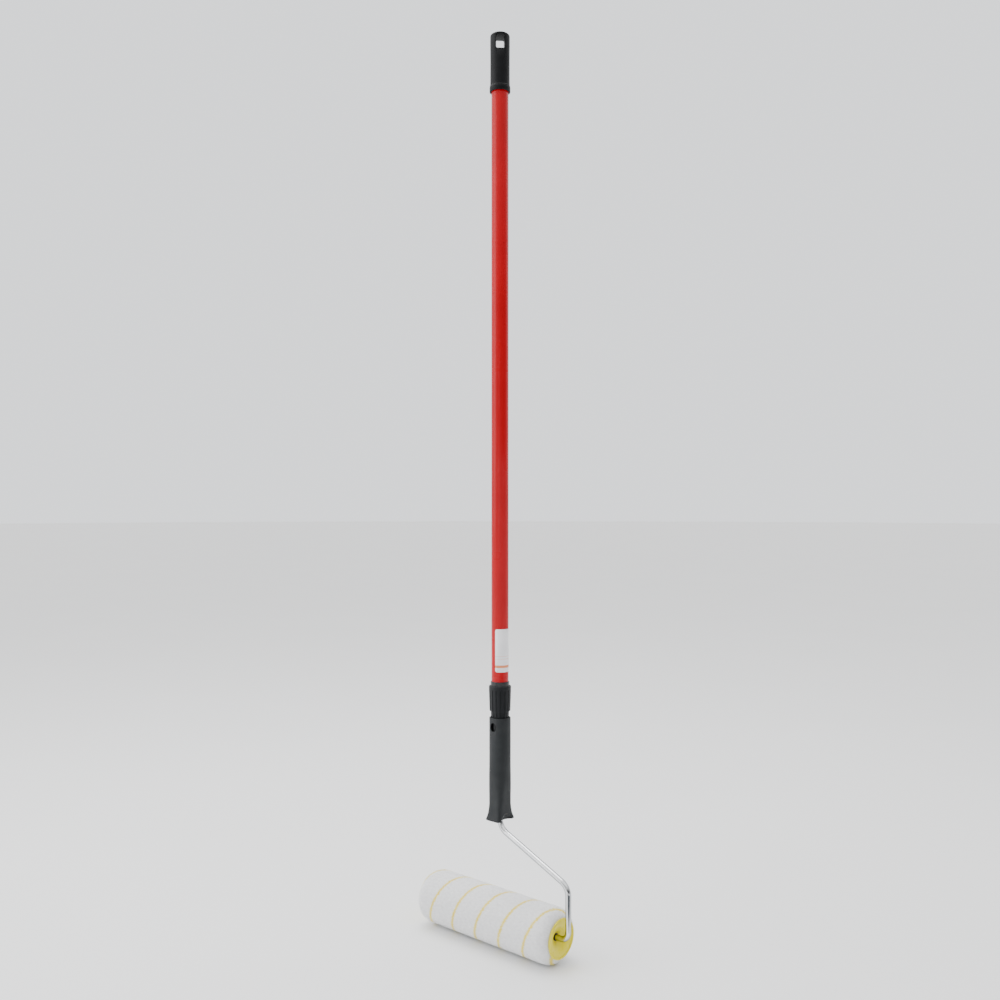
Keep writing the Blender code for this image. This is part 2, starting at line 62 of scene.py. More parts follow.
# ---------------------------------------------------------------------------------------------------
# The studio: a pale floor under the refill, soft light from large panels, and the camera that looks
# level at the pole from the refill's near end.

floor_z = cad_low.z - 0.2 * mm

bm = bmesh.new()
bmesh.ops.create_circle(bm, cap_ends=True, segments=96, radius=30.0)
bmesh.ops.translate(bm, verts=bm.verts, vec=(0, 0, floor_z))
floor_mesh = bpy.data.meshes.new("studio_floor")
bm.to_mesh(floor_mesh)
bm.free()
studio_floor = bpy.data.objects.new("studio_floor", floor_mesh)
bpy.context.scene.collection.objects.link(studio_floor)
studio_floor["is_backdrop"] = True

floor_paint = bpy.data.materials.new("studio_floor")
floor_paint.use_nodes = True
nodes, links = floor_paint.node_tree.nodes, floor_paint.node_tree.links
shader = nodes["Principled BSDF"]
shader.inputs["Roughness"].default_value = 0.6
shader.inputs["Specular IOR Level"].default_value = 0.25
mottle = nodes.new("ShaderNodeTexNoise")
mottle.inputs["Scale"].default_value = 2.5
mottle.inputs["Detail"].default_value = 6.0
shade = nodes.new("ShaderNodeMix")
shade.data_type = "RGBA"
shade.inputs["A"].default_value = (0.89, 0.895, 0.9, 1)
shade.inputs["B"].default_value = (0.925, 0.928, 0.932, 1)
place = nodes.new("ShaderNodeTexCoord")
links.new(place.outputs["Object"], mottle.inputs["Vector"])
links.new(mottle.outputs["Fac"], shade.inputs["Factor"])
links.new(shade.outputs["Result"], shader.inputs["Base Color"])
floor_mesh.materials.append(floor_paint)

world = bpy.data.worlds.new("studio")
world.use_nodes = True
bpy.context.scene.world = world
nodes, links = world.node_tree.nodes, world.node_tree.links
nodes.clear()
place = nodes.new("ShaderNodeTexCoord")
split = nodes.new("ShaderNodeSeparateXYZ")
links.new(place.outputs["Generated"], split.inputs["Vector"])
walls = nodes.new("ShaderNodeMath")
walls.operation = "ARCTAN2"
links.new(split.outputs["Y"], walls.inputs[0])
links.new(split.outputs["X"], walls.inputs[1])
turn = nodes.new("ShaderNodeMath")
turn.operation = "MULTIPLY_ADD"
turn.inputs[1].default_value = 0.5 / math.pi
turn.inputs[2].default_value = 0.5
links.new(walls.outputs["Value"], turn.inputs[0])
panels = nodes.new("ShaderNodeValToRGB")
panels.color_ramp.interpolation = "EASE"
panel_stops = [(0.0, 0.9), (0.14, 1.0), (0.24, 0.4), (0.31, 0.07)]
panel_stops += [(0.5, 0.05), (0.6, 0.2), (0.68, 1.0), (1.0, 0.9)]
while len(panels.color_ramp.elements) < len(panel_stops):
    panels.color_ramp.elements.new(0.5)
for element, (stop, bright) in zip(panels.color_ramp.elements, panel_stops):
    element.position = stop
    element.color = (bright, bright * 1.01, bright * 1.03, 1)
links.new(turn.outputs["Value"], panels.inputs["Fac"])
ceiling = nodes.new("ShaderNodeMapRange")
ceiling.inputs["From Min"].default_value = 0.25
ceiling.inputs["From Max"].default_value = 0.75
links.new(split.outputs["Z"], ceiling.inputs["Value"])
room = nodes.new("ShaderNodeMix")
room.data_type = "RGBA"
room.inputs["B"].default_value = (1.0, 1.0, 1.0, 1)
links.new(ceiling.outputs["Result"], room.inputs["Factor"])
links.new(panels.outputs["Color"], room.inputs["A"])
glow = nodes.new("ShaderNodeBackground")
glow.inputs["Strength"].default_value = 1.6
links.new(room.outputs["Result"], glow.inputs["Color"])
backdrop = nodes.new("ShaderNodeBackground")
backdrop.inputs["Color"].default_value = (0.85, 0.87, 0.895, 1)
backdrop.inputs["Strength"].default_value = 1.72
seen = nodes.new("ShaderNodeLightPath")
both = nodes.new("ShaderNodeMixShader")
sky = nodes.new("ShaderNodeOutputWorld")
links.new(seen.outputs["Is Camera Ray"], both.inputs["Fac"])
links.new(glow.outputs["Background"], both.inputs[1])
links.new(backdrop.outputs["Background"], both.inputs[2])
links.new(both.outputs["Shader"], sky.inputs["Surface"])

view_turn = math.radians(41.5)
eye_distance = 1.5
eye_height = 0.645
camera = bpy.data.cameras.new("camera")
camera.lens = 37.2
camera.sensor_width = 36
camera_object = bpy.data.objects.new("camera", camera)
bpy.context.scene.collection.objects.link(camera_object)
towards_eye = Vector((math.sin(view_turn), -math.cos(view_turn), 0))
beside_eye = Vector((math.cos(view_turn), math.sin(view_turn), 0))
camera_object.location = towards_eye * eye_distance + Vector((0, 0, floor_z + eye_height))
camera_object.rotation_euler = (math.radians(90), 0, view_turn)
bpy.context.scene.camera = camera_object


def softbox(name, aim, sideways, forwards, height, width, tall, watts):
    """A large area light beside the camera's line of sight, pointed at a height on the pole."""
    lamp = bpy.data.lights.new(name, "AREA")
    lamp.shape = "RECTANGLE"
    lamp.size = width
    lamp.size_y = tall
    lamp.energy = watts
    stand = bpy.data.objects.new(name, lamp)
    bpy.context.scene.collection.objects.link(stand)
    stand.location = beside_eye * sideways + towards_eye * forwards + Vector((0, 0, floor_z + height))
    look = Vector((0, 0, floor_z + aim)) - stand.location
    stand.rotation_euler = look.to_track_quat("-Z", "Y").to_euler()


softbox("key_panel", 0.5, -2.0, 0.5, 1.3, 1.4, 2.2, 24)
softbox("streak_panel", 0.6, -0.5, 2.0, 0.7, 0.05, 1.1, 1.6)
softbox("overhead_panel", 0.0, -0.3, -0.4, 2.6, 1.6, 1.6, 44)

# A dark card with faded edges lies on the floor in front. It isn't seen itself: it only darkens what the
# bright wire and the glossy plastics reflect from there.
card_aside, card_ahead, card_lift = 0.26, 0.6, 0.5 * mm
card_clear, card_solid = 0.47, 0.36
bm = bmesh.new()
bmesh.ops.create_grid(bm, x_segments=1, y_segments=1, size=0.5)
bmesh.ops.translate(bm, vec=(card_aside, -card_ahead, floor_z + card_lift), verts=bm.verts)
bmesh.ops.rotate(bm, verts=bm.verts, cent=(0, 0, 0), matrix=Matrix.Rotation(view_turn, 3, "Z"))
card_middle = beside_eye * card_aside + towards_eye * card_ahead + Vector((0, 0, floor_z + card_lift))
card_mesh = bpy.data.meshes.new("studio_card")
bm.to_mesh(card_mesh)
bm.free()
studio_card = bpy.data.objects.new("studio_card", card_mesh)
bpy.context.scene.collection.objects.link(studio_card)
studio_card.visible_camera = False
studio_card.visible_diffuse = False
studio_card.visible_shadow = False
studio_card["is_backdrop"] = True
card_paint = bpy.data.materials.new("studio_card")
card_paint.use_nodes = True
nodes, links = card_paint.node_tree.nodes, card_paint.node_tree.links
shader = nodes["Principled BSDF"]
shader.inputs["Base Color"].default_value = (0.02, 0.024, 0.03, 1)
shader.inputs["Roughness"].default_value = 0.9
place = nodes.new("ShaderNodeTexCoord")
from_middle = nodes.new("ShaderNodeVectorMath")
from_middle.operation = "DISTANCE"
from_middle.inputs[1].default_value = card_middle
fade = nodes.new("ShaderNodeMapRange")
fade.interpolation_type = "SMOOTHSTEP"
fade.inputs["From Min"].default_value = card_clear
fade.inputs["From Max"].default_value = card_solid
links.new(place.outputs["Object"], from_middle.inputs[0])
links.new(from_middle.outputs["Value"], fade.inputs["Value"])
links.new(fade.outputs["Result"], shader.inputs["Alpha"])
card_mesh.materials.append(card_paint)

# ---------------------------------------------------------------------------------------------------
# Outer tube: thin drawn-steel tube, sprayed with glossy red enamel. Its lower end is pressed into the
# ferrule and its top into the grip.

tube_low, tube_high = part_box("outer_tube")
tube_radius = (tube_high.x - tube_low.x) / 2
tube_wall = 0.7 * mm
edge_round = 0.2 * mm
red_enamel = (0.46, 0.002, 0.008)
red_enamel_deep = (0.38, 0.001, 0.005)
fine_steps = 96


def arc(centre, radius, start, end, steps):
    """Points (radius, height) on an arc round centre, from one angle to another in degrees."""
    angles = [math.radians(start + (end - start) * i / steps) for i in range(steps + 1)]
    return [(centre[0] + radius * math.cos(a), centre[1] + radius * math.sin(a)) for a in angles]


def turned(outline, steps, closed=True):
    """A bmesh of an outline of (radius, height) points, spun once round the Z axis."""
    made = bmesh.new()
    points = [made.verts.new((radius, 0, height)) for radius, height in outline]
    for first, second in zip(points, points[1:]):
        made.edges.new((first, second))
    if closed:
        made.edges.new((points[-1], points[0]))
    drawn = made.verts[:] + made.edges[:]
    whole = 2 * math.pi
    bmesh.ops.spin(
        made, geom=drawn, cent=(0, 0, 0), axis=(0, 0, 1), angle=whole, steps=steps, use_merge=True
    )
    bmesh.ops.remove_doubles(made, verts=made.verts, dist=0.001 * mm)
    bmesh.ops.recalc_face_normals(made, faces=made.faces)
    return made


def piece(name, made, crease=35):
    """Ends a bmesh as a smooth-shaded object whose edges stay sharp above the crease angle."""
    mesh = bpy.data.meshes.new(name)
    made.to_mesh(mesh)
    made.free()
    mesh.shade_smooth()
    mesh.set_sharp_from_angle(angle=math.radians(crease))
    obj = bpy.data.objects.new(name, mesh)
    bpy.context.scene.collection.objects.link(obj)
    return obj


def finish_of(name):
    """A new material, with its node tree's nodes and links and its Principled BSDF."""
    made = bpy.data.materials.new(name)
    made.use_nodes = True
    return made, made.node_tree.nodes, made.node_tree.links, made.node_tree.nodes["Principled BSDF"]


def node_group(name, inputs, outputs):
    """An empty shader node group. inputs are (name, default) floats, outputs are names."""
    group = bpy.data.node_groups.new(name, "ShaderNodeTree")
    for label, value in inputs:
        socket = group.interface.new_socket(name=label, in_out="INPUT", socket_type="NodeSocketFloat")
        socket.default_value = value
    for label in outputs:
        group.interface.new_socket(name=label, in_out="OUTPUT", socket_type="NodeSocketFloat")
    return group, group.nodes.new("NodeGroupInput"), group.nodes.new("NodeGroupOutput")


def placed_group(nodes, group, **values):
    """A group's node in a material, with its inputs set by name."""
    node = nodes.new("ShaderNodeGroup")
    node.node_tree = group
    for label, value in values.items():
        node.inputs[label].default_value = value
    return node


def mixed_colour(nodes, links, factor, first, second):
    """A colour that goes from first to second as a factor socket goes from 0 to 1."""
    mix = nodes.new("ShaderNodeMix")
    mix.data_type = "RGBA"
    for socket, colour in (("A", first), ("B", second)):
        if isinstance(colour, bpy.types.NodeSocket):
            links.new(colour, mix.inputs[socket])
        else:
            mix.inputs[socket].default_value = (*colour, 1)
    links.new(factor, mix.inputs["Factor"])
    return mix.outputs["Result"]


def ranged(nodes, links, value, low, high, from_low=0.0, from_high=1.0):
    """A value mapped from one range to another, clamped."""
    span = nodes.new("ShaderNodeMapRange")
    span.inputs["From Min"].default_value = from_low
    span.inputs["From Max"].default_value = from_high
    span.inputs["To Min"].default_value = low
    span.inputs["To Max"].default_value = high
    links.new(value, span.inputs["Value"])
    return span.outputs["Result"]


def bumped(nodes, links, shader, height, strength, depth):
    bump = nodes.new("ShaderNodeBump")
    bump.inputs["Strength"].default_value = strength
    bump.inputs["Distance"].default_value = depth
    links.new(height, bump.inputs["Height"])
    links.new(bump.outputs["Normal"], shader.inputs["Normal"])
    return bump


def noise_in(nodes, links, scale, detail, stretch=(1, 1, 1), roughness=0.5):
    """Noise on Object coordinates, stretched by a Mapping node."""
    place = nodes.new("ShaderNodeTexCoord")
    mapping = nodes.new("ShaderNodeMapping")
    mapping.inputs["Scale"].default_value = stretch
    texture = nodes.new("ShaderNodeTexNoise")
    texture.inputs["Detail"].default_value = detail
    texture.inputs["Roughness"].default_value = roughness
    links.new(place.outputs["Object"], mapping.inputs["Vector"])
    links.new(mapping.outputs["Vector"], texture.inputs["Vector"])
    if isinstance(scale, bpy.types.NodeSocket):
        links.new(scale, texture.inputs["Scale"])
    else:
        texture.inputs["Scale"].default_value = scale
    return texture.outputs["Fac"]


# Handling wear, shared by most finishes: broad cloudy smears, and a few fine scuffs that run up the pole.
wear_inputs = [("Smears", 12.0), ("Scuffs", 60.0)]
handling_wear, wear_in, wear_out = node_group("handling_wear", wear_inputs, ["Smear", "Scuff"])
inside, ties = handling_wear.nodes, handling_wear.links
smears = noise_in(inside, ties, wear_in.outputs["Smears"], 4.0)
ties.new(ranged(inside, ties, smears, 0, 1, 0.35, 0.7), wear_out.inputs["Smear"])
scuffs = noise_in(inside, ties, wear_in.outputs["Scuffs"], 8.0, (1, 1, 0.12), 0.65)
ties.new(ranged(inside, ties, scuffs, 0, 1, 0.62, 0.74), wear_out.inputs["Scuff"])

bm = turned(
    arc((tube_radius - edge_round, tube_high.z - edge_round), edge_round, 90, 0, 3)
    + arc((tube_radius - edge_round, tube_low.z + edge_round), edge_round, 0, -90, 3)
    + [(tube_radius - tube_wall, tube_low.z), (tube_radius - tube_wall, tube_high.z)],
    fine_steps,
)
tube = piece("red_tube", bm)

enamel, nodes, links, shader = finish_of("red_enamel")
wear = placed_group(nodes, handling_wear, Smears=9.0, Scuffs=220.0)
colour = mixed_colour(nodes, links, wear.outputs["Smear"], red_enamel, red_enamel_deep)
scuffed = ranged(nodes, links, wear.outputs["Scuff"], 0, 0.1)
colour = mixed_colour(nodes, links, scuffed, colour, (0.55, 0.1, 0.11))
links.new(colour, shader.inputs["Base Color"])
links.new(ranged(nodes, links, wear.outputs["Smear"], 0.24, 0.34), shader.inputs["Roughness"])
shader.inputs["Coat Weight"].default_value = 0.16
shader.inputs["Coat Roughness"].default_value = 0.08
shader.inputs["Specular IOR Level"].default_value = 0.12
draw_lines = noise_in(nodes, links, 900.0, 3.0, (1, 1, 0.02))
bumped(nodes, links, shader, draw_lines, 0.12, 0.06 * mm)
tube.data.materials.append(enamel)
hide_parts("outer_tube")
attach(tube, "pole")

# ---------------------------------------------------------------------------------------------------
# End grip: one black moulding pushed over the tube's top, with a domed crown, two flats, a window to
# hang it by and a thicker lip at its mouth. The window looks towards the refill's near end.

grip_low, grip_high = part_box("end_grip")
window_turn = math.radians(45)
window_z = 1050.3 * mm
window_width = 12.6 * mm
window_height = 20.4 * mm
flat_out = 12.4 * mm
flat_low = window_z - 18 * mm
grip_black = (0.005, 0.0053, 0.006)
grip_black_worn = (0.009, 0.0097, 0.011)


def boxed(low, high, picks=None, radius=0.0, segments=5):
    """A bmesh box between two corners. The edges that picks chooses are rounded."""
    made = bmesh.new()
    low, high = Vector(low), Vector(high)
    bmesh.ops.create_cube(made, size=1.0)
    bmesh.ops.scale(made, vec=high - low, verts=made.verts)
    bmesh.ops.translate(made, vec=(low + high) / 2, verts=made.verts)
    if picks:
        edges = [edge for edge in made.edges if picks(edge)]
        bmesh.ops.bevel(
            made, geom=edges, offset=radius, segments=segments, profile=0.5, affect="EDGES", material=-1
        )
    return made


def carve(obj, cutters, turn=0.0):
    """Cuts each bmesh out of obj, one after another, and leaves the result as obj's mesh."""
    for made in cutters:
        bmesh.ops.rotate(made, verts=made.verts, cent=(0, 0, 0), matrix=Matrix.Rotation(turn, 3, "Z"))
        bmesh.ops.recalc_face_normals(made, faces=made.faces)
        tool = piece("cutter", made)
        cut = obj.modifiers.new("cut", "BOOLEAN")
        cut.operation = "DIFFERENCE"
        cut.solver = "EXACT"
        cut.object = tool
        graph = bpy.context.evaluated_depsgraph_get()
        shaped = bpy.data.meshes.new_from_object(obj.evaluated_get(graph))
        obj.modifiers.clear()
        obj.data = shaped
        bpy.data.objects.remove(tool)


def soften(obj, width, crease=30, segments=2):
    """Rounds a moulding's sharp edges, as the mould does, with an applied Bevel modifier."""
    bevel = obj.modifiers.new("soft_edges", "BEVEL")
    bevel.width = width
    bevel.segments = segments
    bevel.limit_method = "ANGLE"
    bevel.angle_limit = math.radians(crease)
    bevel.miter_outer = "MITER_ARC"
    bevel.use_clamp_overlap = True
    graph = bpy.context.evaluated_depsgraph_get()
    shaped = bpy.data.meshes.new_from_object(obj.evaluated_get(graph))
    obj.modifiers.clear()
    obj.data = shaped
    shaped.shade_smooth()
    shaped.set_sharp_from_angle(angle=math.radians(40))


top, low = grip_high.z, grip_low.z
bore = tube_radius + 0.3 * mm
bore_top = tube_high.z + 0.3 * mm
bm = turned(
    [(0, top), (3 * mm, top - 0.1 * mm)]
    + [(6 * mm, top - 0.2 * mm), (8.6 * mm, top - 0.45 * mm), (10.2 * mm, top - 0.75 * mm)]
    + arc((10.1 * mm, top - 4.8 * mm), 4.2 * mm, 72, 0, 10)
    + [(14.3 * mm, top - 14 * mm), (14.1 * mm, top - 40 * mm), (14.2 * mm, low + 14 * mm)]
    + arc((16.4 * mm, low + 9.4 * mm), 2.0 * mm, 180, 225, 5)
    + arc((14.2 * mm, low + 6.2 * mm), 1.0 * mm, 45, 0, 3)
    + arc((14.4 * mm, low + 0.8 * mm), 0.8 * mm, 0, -90, 4)
    + arc((bore + 0.5 * mm, low + 0.5 * mm), 0.5 * mm, -90, -180, 3)
    + [(bore, bore_top), (0, bore_top)],
    fine_steps,
    closed=False,
)
grip = piece("grip_moulding", bm)
beyond = 20 * mm
flats = []
for side in (-1, 1):
    near, far = sorted((side * flat_out, side * beyond))
    inner = side * flat_out

    def at_run_out(edge, inner=inner):
        return all(
            abs(v.co.y - inner) < 0.1 * mm and abs(v.co.z - flat_low) < 0.1 * mm for v in edge.verts
        )

    flats.append(boxed((-beyond, near, flat_low), (beyond, far, top + beyond), at_run_out, 12 * mm, 10))
half_w, half_h = window_width / 2, window_height / 2
window_low = (-half_w, -beyond, window_z - half_h)
window_high = (half_w, beyond, window_z + half_h)


def runs_through(edge):
    return abs(edge.verts[1].co.y - edge.verts[0].co.y) > beyond


window = boxed(window_low, window_high, runs_through, 2.0 * mm, 5)
carve(grip, [*flats, window], window_turn)
soften(grip, 0.7 * mm, 34, 3)

# Moulded grain, shared by every plastic: the fine spark-eroded texture that a mould leaves.
moulded_grain, grain_in, grain_out = node_group("moulded_grain", [("Scale", 2600.0)], ["Height", "Tone"])
inside, ties = moulded_grain.nodes, moulded_grain.links
fine = noise_in(inside, ties, grain_in.outputs["Scale"], 5.0, roughness=0.7)
ties.new(ranged(inside, ties, fine, 0, 1, 0.3, 0.7), grain_out.inputs["Height"])
coarse = noise_in(inside, ties, 95.0, 3.0)
ties.new(ranged(inside, ties, coarse, 0, 1, 0.3, 0.7), grain_out.inputs["Tone"])


def moulding(name, colour, worn, roughness, grain=2600.0, depth=0.05, scuffs=140.0, gloss=0.25):
    """Moulded plastic: colour mottled by the grain and by wear, roughness by wear, and the grain's fine
    bump.
    """
    made, nodes, links, shader = finish_of(name)
    shader.inputs["Specular IOR Level"].default_value = gloss
    wear = placed_group(nodes, handling_wear, Smears=26.0, Scuffs=scuffs)
    grain = placed_group(nodes, moulded_grain, Scale=grain)
    blend = mixed_colour(nodes, links, ranged(nodes, links, grain.outputs["Tone"], 0, 0.45), colour, worn)
    blend = mixed_colour(nodes, links, ranged(nodes, links, wear.outputs["Scuff"], 0, 0.5), blend, worn)
    links.new(blend, shader.inputs["Base Color"])
    rough = ranged(nodes, links, wear.outputs["Smear"], roughness - 0.07, roughness + 0.07)
    links.new(rough, shader.inputs["Roughness"])
    bumped(nodes, links, shader, grain.outputs["Height"], 0.5, depth * mm)
    return made


grip_plastic = moulding("grip_plastic", grip_black, grip_black_worn, 0.5, gloss=0.14)
grip.data.materials.append(grip_plastic)
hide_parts("end_grip")
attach(grip, "pole")

# ---------------------------------------------------------------------------------------------------
# Ferrule: a polished black sleeve pressed on the tube's lower end. Its rim shows above the lock nut,
# and its mouth tapers inside to close the collet.

ferrule_low, ferrule_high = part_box("lock_ferrule")
ferrule_radius = (ferrule_high.x - ferrule_low.x) / 2
throat = 11.2 * mm
pocket_floor = tube_low.z - 0.4 * mm
bm = turned(
    arc((bore + 0.35 * mm, ferrule_high.z - 0.35 * mm), 0.35 * mm, 180, 90, 4)
    + arc((ferrule_radius - 1.1 * mm, ferrule_high.z - 1.1 * mm), 1.1 * mm, 90, 0, 8)
    + [(ferrule_radius, ferrule_low.z + 0.3 * mm), (ferrule_radius - 0.3 * mm, ferrule_low.z)]
    + [(13.3 * mm, ferrule_low.z), (11.6 * mm, ferrule_low.z + 8.5 * mm)]
    + [(throat, ferrule_low.z + 8.8 * mm), (throat, pocket_floor), (bore, pocket_floor)],
    fine_steps,
)
ferrule = piece("ferrule_sleeve", bm)
polish, polish_worn = (0.01, 0.0105, 0.012), (0.02, 0.021, 0.023)
polished_black = moulding("polished_black", polish, polish_worn, 0.2, 1200.0, 0.01, gloss=0.45)
ferrule.data.materials.append(polished_black)
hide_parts("lock_ferrule")
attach(ferrule, "pole")

# ---------------------------------------------------------------------------------------------------
# Label: a white paper sticker with rounded corners, wrapped part of the way round the tube's lower end.
# It carries no printing, only a plain band and two thin rules.

label_low, label_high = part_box("pole_label")
label_radius = tube_radius + 0.12 * mm
label_thick = 0.12 * mm
label_start = math.radians(-37)
label_arc = math.radians(118)
label_corner = 3.2 * mm
label_width = label_arc * label_radius
bm = bmesh.new()
bmesh.ops.create_grid(bm, x_segments=1, y_segments=1, size=0.5)
bmesh.ops.scale(bm, vec=(label_width, label_high.z - label_low.z, 1), verts=bm.verts)
bmesh.ops.bevel(
    bm, geom=bm.verts[:], offset=label_corner, segments=8, profile=0.5, affect="VERTICES", material=-1
)
slices = 40
for i in range(1, slices):
    across = label_width * (i / slices - 0.5)
    everything = bm.verts[:] + bm.edges[:] + bm.faces[:]
    bmesh.ops.bisect_plane(
        bm, geom=everything, dist=0.001 * mm, plane_co=(across, 0, 0), plane_no=(1, 0, 0)
    )
middle_z = (label_low.z + label_high.z) / 2
for vert in bm.verts:
    angle = window_turn + label_start + label_arc / 2 + vert.co.x / label_radius - math.pi / 2
    vert.co = (label_radius * math.cos(angle), label_radius * math.sin(angle), middle_z + vert.co.y)
bmesh.ops.recalc_face_normals(bm, faces=bm.faces)
for face in bm.faces:
    if face.normal.dot(face.calc_center_median() * Vector((1, 1, 0))) < 0:
        face.normal_flip()
label = piece("tube_sticker", bm)
paper = label.modifiers.new("paper", "SOLIDIFY")
paper.thickness = label_thick
paper.offset = 1.0

label_paper, nodes, links, shader = finish_of("label_paper")
fibres = noise_in(nodes, links, 700.0, 6.0)
white = mixed_colour(nodes, links, fibres, (0.8, 0.8, 0.83), (0.9, 0.9, 0.92))
place = nodes.new("ShaderNodeTexCoord")
split = nodes.new("ShaderNodeSeparateXYZ")
links.new(place.outputs["Object"], split.inputs["Vector"])
bands = nodes.new("ShaderNodeValToRGB")
bands.color_ramp.interpolation = "CONSTANT"
print_rows = [(0.0, 0.0), (0.1, 1.0), (0.16, 0.0), (0.3, 0.45), (0.312, 0.0), (0.36, 0.45), (0.372, 0.0)]
while len(bands.color_ramp.elements) < len(print_rows):
    bands.color_ramp.elements.new(0.5)
for element, (stop, ink) in zip(bands.color_ramp.elements, print_rows):
    element.position = stop
    element.color = (ink, ink, ink, 1)
links.new(ranged(nodes, links, split.outputs["Z"], 0, 1, label_low.z, label_high.z), bands.inputs["Fac"])
inked = mixed_colour(nodes, links, bands.outputs["Color"], white, (0.75, 0.24, 0.09))
links.new(inked, shader.inputs["Base Color"])
links.new(ranged(nodes, links, fibres, 0.34, 0.5), shader.inputs["Roughness"])
bumped(nodes, links, shader, fibres, 0.15, 0.02 * mm)
label.data.materials.append(label_paper)
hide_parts("pole_label")
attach(label, "pole")

# ---------------------------------------------------------------------------------------------------
# Lock nut: the black hand nut that tightens the collet. A plain band runs round its chamfered top, and
# sixteen narrow flutes run from there out of its lower edge.

nut_low, nut_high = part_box("lock_nut")
nut_top_radius = 16.2 * mm
nut_bottom_radius = 15.2 * mm
nut_skirt = 13.75 * mm
flute_count = 16
flute_radius = 1.1 * mm
flute_depth = 1.05 * mm


def flutes(count, radius, top, bottom, depth):
    """Round-nosed cutters set in a ring. top and bottom are (surface radius, height) at their ends."""
    made = bmesh.new()
    high = Vector((top[0] - depth + radius, 0, top[1]))
    low = Vector((bottom[0] - depth + radius, 0, bottom[1]))
    lean = (high - low).to_track_quat("Z", "Y").to_matrix().to_4x4()
    for i in range(count):
        grown = bmesh.ops.create_uvsphere(made, u_segments=16, v_segments=12, radius=radius)
        half = (high - low).length / 2
        for vert in grown["verts"]:
            vert.co.z += math.copysign(half, vert.co.z)
        round_axis = Matrix.Rotation(2 * math.pi * i / count, 4, "Z")
        where = round_axis @ Matrix.Translation((high + low) / 2) @ lean
        bmesh.ops.transform(made, matrix=where, verts=grown["verts"])
    return made


top, low = nut_high.z, nut_low.z
bm = turned(
    arc((14.5 * mm, top - 0.4 * mm), 0.4 * mm, 180, 90, 4)
    + arc((15.0 * mm, top - 1.2 * mm), 1.2 * mm, 90, 20, 7)
    + [(nut_top_radius, top - 2.6 * mm), (nut_bottom_radius, low + 0.7 * mm)]
    + arc((nut_bottom_radius - 0.6 * mm, low + 0.6 * mm), 0.6 * mm, 0, -90, 4)
    + arc((nut_skirt + 0.2 * mm, low + 0.2 * mm), 0.2 * mm, -90, -180, 2)
    + [(nut_skirt, low + 3.7 * mm), (11.2 * mm, low + 3.7 * mm), (11.2 * mm, low + 6.7 * mm)]
    + [(13.95 * mm, low + 6.7 * mm), (13.95 * mm, low + 12.5 * mm), (14.1 * mm, low + 13.5 * mm)],
    fine_steps,
)
nut = piece("hand_nut", bm)
flute_ends = ((nut_top_radius, top - 6.2 * mm), (nut_bottom_radius, low - 2 * mm))
carve(nut, [flutes(flute_count, flute_radius, *flute_ends, flute_depth)])
soften(nut, 0.25 * mm, 38, 2)
nut_black, nut_black_worn = (0.0078, 0.0088, 0.0102), (0.016, 0.0175, 0.019)
nut_plastic = moulding("nut_plastic", nut_black, nut_black_worn, 0.46, 2200.0, 0.04, gloss=0.2)
nut.data.materials.append(nut_plastic)
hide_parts("lock_nut")
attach(nut, "nut")

# ---------------------------------------------------------------------------------------------------
# Cone tip: the push-fit end of the inner tube. A fluted collar shows below the nut; six flats and a
# fluted nose go into the handle's socket.

tip_low, tip_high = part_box("cone_tip")
tip_bore = 11.0 * mm
tip_hollow = 5.8 * mm
flat_apothem = 11.1 * mm
collar_low = tip_high.z - 15.4 * mm
flats_low = tip_low.z + 35 * mm
step_z = tip_low.z + 45 * mm
top, low = tip_high.z, tip_low.z
bm = turned(
    [(0, top - 13.4 * mm), (tip_bore, top - 13.4 * mm), (tip_bore, top)]
    + arc((12.9 * mm, top - 0.4 * mm), 0.4 * mm, 90, 0, 4)
    + [(13.2 * mm, top - 4 * mm), (13.0 * mm, collar_low), (12.25 * mm, step_z + 1.0 * mm)]
    + arc((11.7 * mm, step_z), 0.5 * mm, 70, 0, 4)
    + [(11.6 * mm, step_z - 4 * mm), (10.45 * mm, low + 6 * mm), (10.2 * mm, low + 2.4 * mm)]
    + arc((8.8 * mm, low + 1.3 * mm), 1.3 * mm, 0, -90, 5)
    + [(6.0 * mm, low), (tip_hollow, low + 48 * mm), (0, low + 48 * mm)],
    fine_steps,
    closed=False,
)
tip = piece("push_cone", bm)
pairs = []
for i in range(3):
    made = bmesh.new()
    for side in (-1, 1):
        grown = bmesh.ops.create_cube(made, size=1.0)
        place = Matrix.Translation((side * (flat_apothem + 3 * mm), 0, (flats_low + collar_low) / 2))
        size = Matrix.Diagonal((6 * mm, 22 * mm, collar_low - flats_low, 1))
        turn = Matrix.Rotation(math.radians(13 + 60 * i), 4, "Z")
        bmesh.ops.transform(made, matrix=turn @ place @ size, verts=grown["verts"])
    pairs.append(made)
collar_ends = ((12.95 * mm, top - 3.4 * mm), (12.8 * mm, collar_low + 1.6 * mm))
nose_ends = ((11.3 * mm, flats_low - 4 * mm), (10.3 * mm, low - 3 * mm))
collar_flutes = flutes(flute_count, 0.9 * mm, *collar_ends, 0.7 * mm)
nose_flutes = flutes(12, 1.2 * mm, *nose_ends, 1.0 * mm)
carve(tip, [*pairs, collar_flutes, nose_flutes], window_turn)
soften(tip, 0.2 * mm, 38, 2)
tip.data.materials.append(nut_plastic)
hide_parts("cone_tip")
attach(tip, "inner_pole")

# ---------------------------------------------------------------------------------------------------
# Inner tube, guide bush and split collet: the galvanised tube that slides out of the pole, the nylon
# plug in its top, and the slit nylon ring that the nut closes on it. They show when the pole is out.


